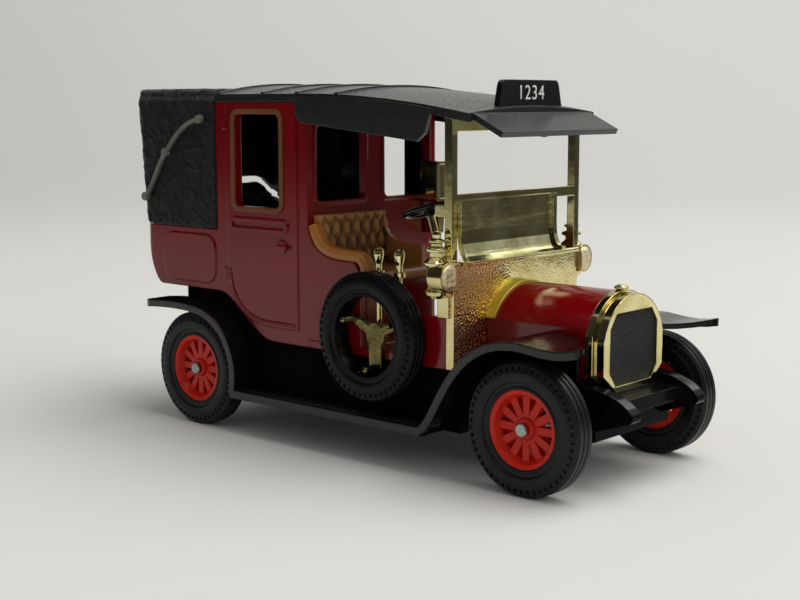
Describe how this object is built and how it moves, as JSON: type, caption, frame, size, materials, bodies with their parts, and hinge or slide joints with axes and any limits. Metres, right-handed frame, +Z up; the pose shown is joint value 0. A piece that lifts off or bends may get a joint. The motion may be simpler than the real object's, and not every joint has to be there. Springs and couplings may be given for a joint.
{
  "type": "toy taxi",
  "caption": "Die-cast toy taxi of the early motoring years: open cab, closed cabin with a landaulet hood, gold-plated front and spoked wheels that roll.",
  "frame": {"origin": "bottom centre of the box around the whole car", "axes": "+X forward, +Y the car's left side, +Z up, tyres on z = 0"},
  "size_m": [0.0948, 0.037, 0.0552],
  "materials": {
    "maroon_paint": "gloss maroon enamel on die-cast metal",
    "black_paint": "gloss black enamel on die-cast metal",
    "tan_paint": "printed tan line",
    "gold_plate": "mirror-bright gold plating on plastic",
    "black_grain": "leather-grained black plastic",
    "black_plastic": "smooth black plastic",
    "tan_plastic": "tan plastic with moulded tufts",
    "red_plastic": "bright red plastic",
    "tyre_plastic": "semi-matt black soft plastic",
    "steel": "dull bright steel"
  },
  "bodies": {
    "car": {"chassis": "black_paint", "base_plate": "black_plastic", "rivets": "steel", "front_axle": "steel", "rear_axle": "steel", "body_shell": "maroon_paint", "cab_floor": "maroon_paint", "bonnet": "maroon_paint", "window_trim_right": "tan_paint", "window_trim_left": "tan_paint", "radiator_shell": "gold_plate", "radiator_grille": "black_plastic", "filler_cap": "gold_plate", "bonnet_strap": "gold_plate", "dash_panel": "gold_plate", "windscreen_frame": "gold_plate", "scuttle_cowl": "gold_plate", "lamp_right": "gold_plate", "lamp_left": "gold_plate", "lamp_lens_right": "gold_plate", "lamp_lens_left": "gold_plate", "steering_column": "gold_plate", "steering_wheel": "black_plastic", "brake_lever": "gold_plate", "gear_lever": "gold_plate", "taximeter": "gold_plate", "spare_tyre": "tyre_plastic", "spare_bracket": "gold_plate", "roof": "black_grain", "roof_plate": "black_plastic", "landau_hood": "black_grain", "hood_iron_right": "black_grain", "hood_iron_left": "black_grain", "driver_seat": "tan_plastic", "rear_seat": "black_plastic"},
    "wheel_front_right": {"wheel_front_right": "red_plastic", "tyre_front_right": "tyre_plastic"},
    "wheel_front_left": {"wheel_front_left": "red_plastic", "tyre_front_left": "tyre_plastic"},
    "wheel_rear_right": {"wheel_rear_right": "red_plastic", "tyre_rear_right": "tyre_plastic"},
    "wheel_rear_left": {"wheel_rear_left": "red_plastic", "tyre_rear_left": "tyre_plastic"}
  },
  "joints": [
    {"name": "wheel_front_right_spin", "type": "hinge", "parent": "car", "child": "wheel_front_right", "pos_m": [0.0355, -0.016, 0.0092], "axis": [0, 1, 0], "continuous": true},
    {"name": "wheel_front_left_spin", "type": "hinge", "parent": "car", "child": "wheel_front_left", "pos_m": [0.0355, 0.016, 0.0092], "axis": [0, 1, 0], "continuous": true},
    {"name": "wheel_rear_right_spin", "type": "hinge", "parent": "car", "child": "wheel_rear_right", "pos_m": [-0.0307, -0.016, 0.0092], "axis": [0, 1, 0], "continuous": true},
    {"name": "wheel_rear_left_spin", "type": "hinge", "parent": "car", "child": "wheel_rear_left", "pos_m": [-0.0307, 0.016, 0.0092], "axis": [0, 1, 0], "continuous": true}
  ]
}
